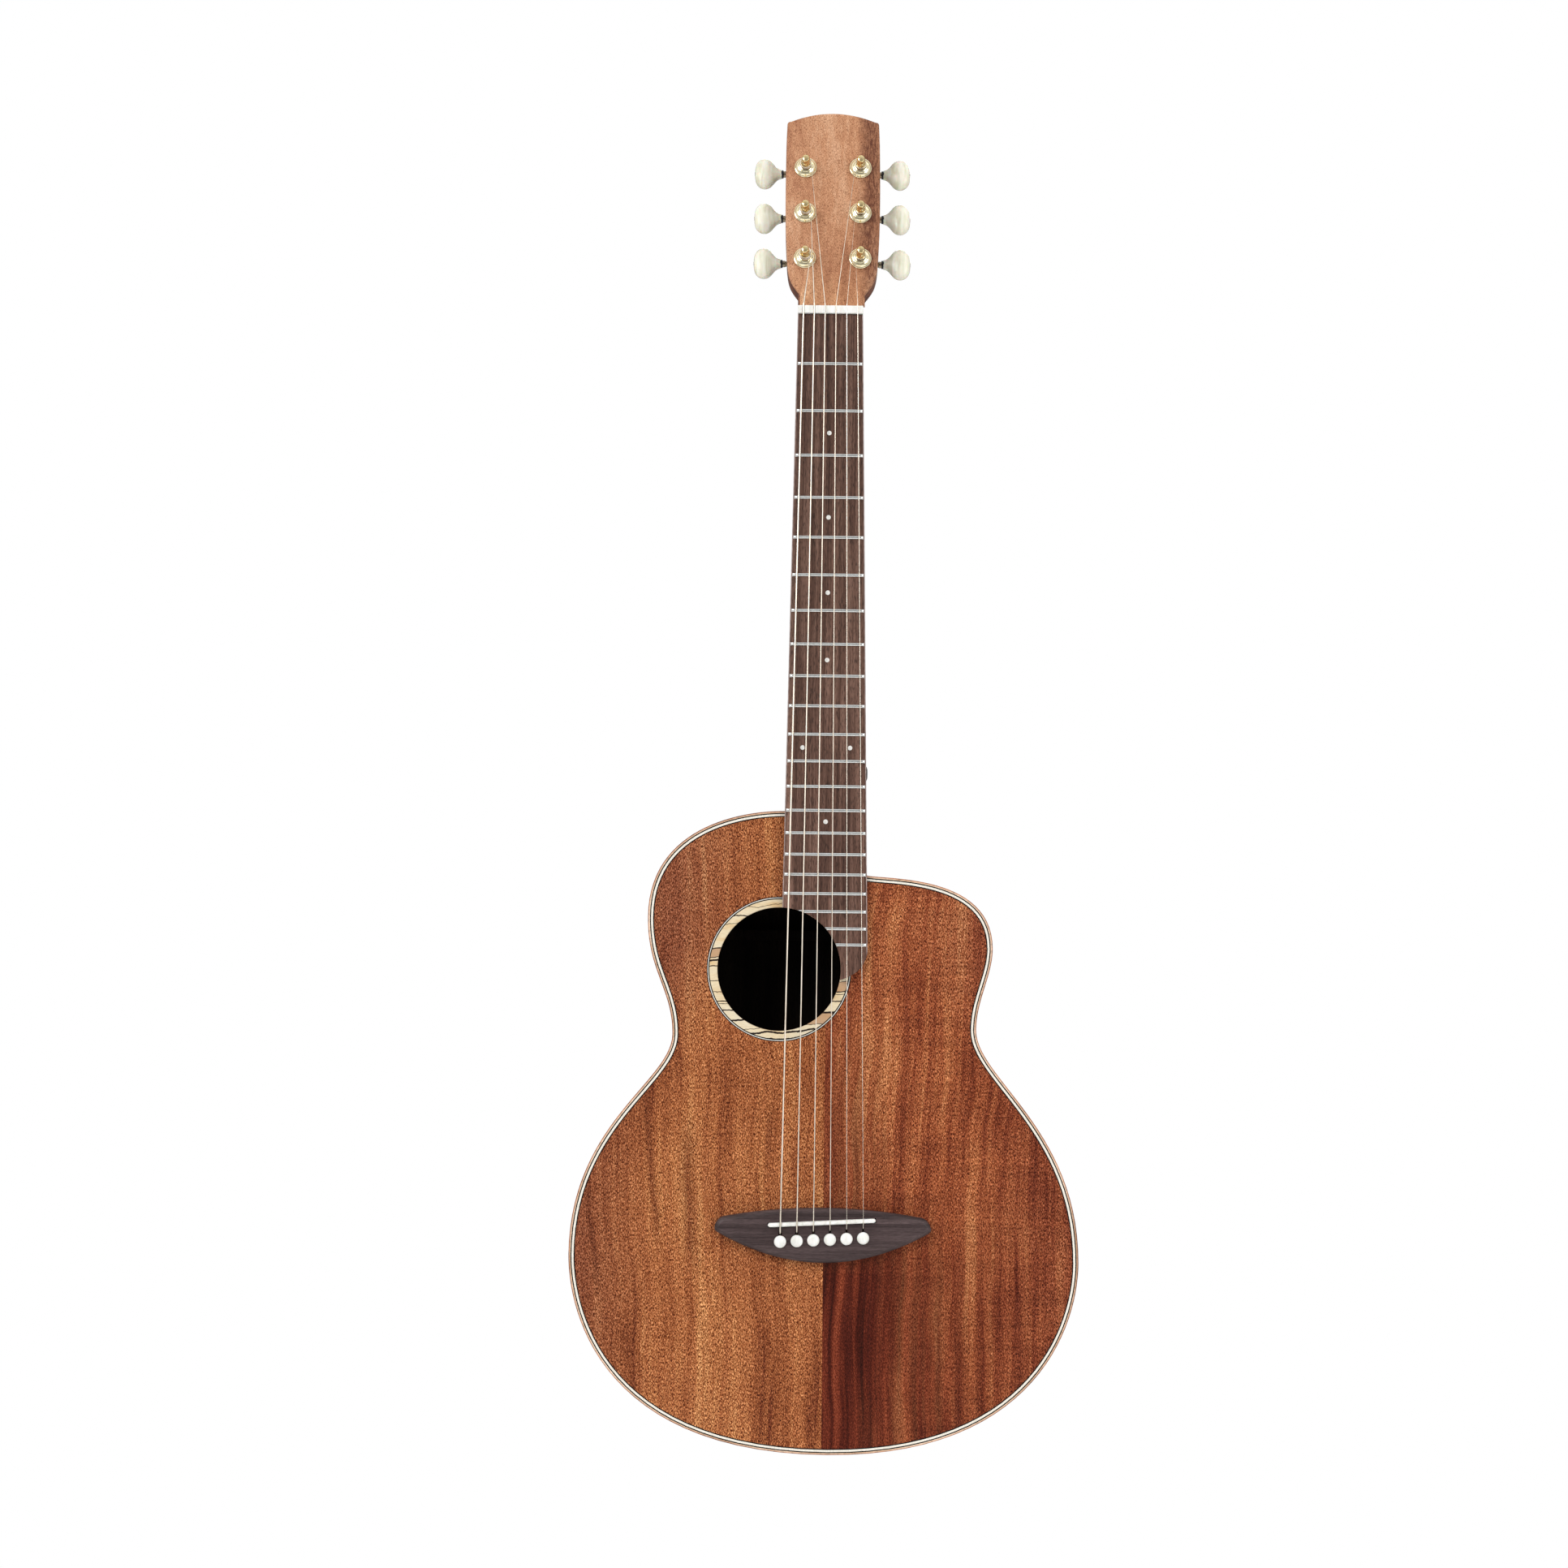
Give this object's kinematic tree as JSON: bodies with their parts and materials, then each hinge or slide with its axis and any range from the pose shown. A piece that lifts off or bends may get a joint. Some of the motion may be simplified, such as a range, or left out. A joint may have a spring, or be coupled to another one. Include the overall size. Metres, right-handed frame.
{
  "type": "travel guitar",
  "caption": "Small flat-top acoustic guitar with a cutaway, an offset sound hole and geared tuning machines, hung by its headstock.",
  "frame": {"origin": "middle of the fretboard's nut end, in the plane of the soundboard's face, where the neck's throat hangs", "axes": "+Z along the strings to the headstock, +X to the treble side, +Y from the soundboard to the back"},
  "size_m": [0.3422, 0.1051, 0.9185],
  "materials": {
    "koa": "satin figured tonewood",
    "spruce": "bare straight-grained wood",
    "mahogany": "satin open-pored wood",
    "rosewood": "oiled dark wood",
    "binding": "satin reddish wood",
    "purfling": "white line between black lines",
    "maple": "satin spalted wood",
    "ivory": "polished off-white",
    "pearl": "polished pearl-effect cream",
    "gilt": "polished gold plate",
    "steel": "bright drawn wire",
    "dark_metal": "satin black"
  },
  "bodies": {
    "guitar": {"soundboard": "koa", "rosette": "maple", "top_binding": "binding", "top_purfling": "purfling", "bass_side": "koa", "treble_side": "koa", "back_binding": "binding", "back_plate": "koa", "top_lining": "spruce", "back_lining": "spruce", "neck_block": "mahogany", "tail_block": "mahogany", "x_brace_bass": "spruce", "x_brace_treble": "spruce", "upper_brace": "spruce", "back_brace_upper": "spruce", "back_brace_middle": "spruce", "back_brace_lower": "spruce", "bridge_plate": "maple", "bridge": "rosewood", "saddle": "ivory", "bridge_pin_low_e": "ivory", "bridge_pin_a": "ivory", "bridge_pin_d": "ivory", "bridge_pin_g": "ivory", "bridge_pin_b": "ivory", "bridge_pin_high_e": "ivory", "neck": "mahogany", "headplate": "koa", "heel_cap": "rosewood", "heel_strap_button": "dark_metal", "truss_rod": "steel", "fretboard": "rosewood", "nut": "ivory", "tuner_base_low_e": "gilt", "tuner_base_a": "gilt", "tuner_base_d": "gilt", "tuner_base_g": "gilt", "tuner_base_b": "gilt", "tuner_base_high_e": "gilt", "string_low_e": "steel", "string_a": "steel", "string_d": "steel", "string_g": "steel", "string_b": "steel", "string_high_e": "steel"},
    "key_low_e": {"tuner_key_low_e": "pearl"},
    "key_a": {"tuner_key_a": "pearl"},
    "key_d": {"tuner_key_d": "pearl"},
    "key_g": {"tuner_key_g": "pearl"},
    "key_b": {"tuner_key_b": "pearl"},
    "key_high_e": {"tuner_key_high_e": "pearl"},
    "post_low_e": {"tuner_post_low_e": "gilt"},
    "post_a": {"tuner_post_a": "gilt"},
    "post_d": {"tuner_post_d": "gilt"},
    "post_g": {"tuner_post_g": "gilt"},
    "post_b": {"tuner_post_b": "gilt"},
    "post_high_e": {"tuner_post_high_e": "gilt"},
    "truss_nut": {"truss_nut": "steel"}
  },
  "joints": [
    {"name": "key_low_e_turn", "type": "hinge", "parent": "guitar", "child": "key_low_e", "pos_m": [-0.0178, 0.02938, 0.04228], "axis": [1, 0, 0], "continuous": true},
    {"name": "key_a_turn", "type": "hinge", "parent": "guitar", "child": "key_a", "pos_m": [-0.0178, 0.03744, 0.07583], "axis": [1, 0, 0], "continuous": true},
    {"name": "key_d_turn", "type": "hinge", "parent": "guitar", "child": "key_d", "pos_m": [-0.0178, 0.04549, 0.10938], "axis": [1, 0, 0], "continuous": true},
    {"name": "key_g_turn", "type": "hinge", "parent": "guitar", "child": "key_g", "pos_m": [0.0202, 0.04549, 0.10938], "axis": [1, 0, 0], "continuous": true},
    {"name": "key_b_turn", "type": "hinge", "parent": "guitar", "child": "key_b", "pos_m": [0.0202, 0.03744, 0.07583], "axis": [1, 0, 0], "continuous": true},
    {"name": "key_high_e_turn", "type": "hinge", "parent": "guitar", "child": "key_high_e", "pos_m": [0.0202, 0.02938, 0.04228], "axis": [1, 0, 0], "continuous": true},
    {"name": "post_low_e_turn", "type": "hinge", "parent": "guitar", "child": "post_low_e", "pos_m": [-0.0178, 0.02787, 0.03596], "axis": [0, 0.9724, -0.2334], "continuous": true},
    {"name": "post_a_turn", "type": "hinge", "parent": "guitar", "child": "post_a", "pos_m": [-0.0178, 0.03592, 0.06951], "axis": [0, 0.9724, -0.2334], "continuous": true},
    {"name": "post_d_turn", "type": "hinge", "parent": "guitar", "child": "post_d", "pos_m": [-0.0178, 0.04397, 0.10305], "axis": [0, 0.9724, -0.2334], "continuous": true},
    {"name": "post_g_turn", "type": "hinge", "parent": "guitar", "child": "post_g", "pos_m": [0.0202, 0.04397, 0.10305], "axis": [0, 0.9724, -0.2334], "continuous": true},
    {"name": "post_b_turn", "type": "hinge", "parent": "guitar", "child": "post_b", "pos_m": [0.0202, 0.03592, 0.06951], "axis": [0, 0.9724, -0.2334], "continuous": true},
    {"name": "post_high_e_turn", "type": "hinge", "parent": "guitar", "child": "post_high_e", "pos_m": [0.0202, 0.02787, 0.03596], "axis": [0, 0.9724, -0.2334], "continuous": true},
    {"name": "truss_nut_turn", "type": "hinge", "parent": "guitar", "child": "truss_nut", "pos_m": [0, 0.007, -0.386], "axis": [0, 0, 1], "range_deg": [-180, 180]}
  ],
  "couplings": [
    {"joint": "post_low_e_turn", "follows": "key_low_e_turn", "ratio": -0.071429},
    {"joint": "post_a_turn", "follows": "key_a_turn", "ratio": -0.071429},
    {"joint": "post_d_turn", "follows": "key_d_turn", "ratio": -0.071429},
    {"joint": "post_g_turn", "follows": "key_g_turn", "ratio": 0.071429},
    {"joint": "post_b_turn", "follows": "key_b_turn", "ratio": 0.071429},
    {"joint": "post_high_e_turn", "follows": "key_high_e_turn", "ratio": 0.071429}
  ]
}
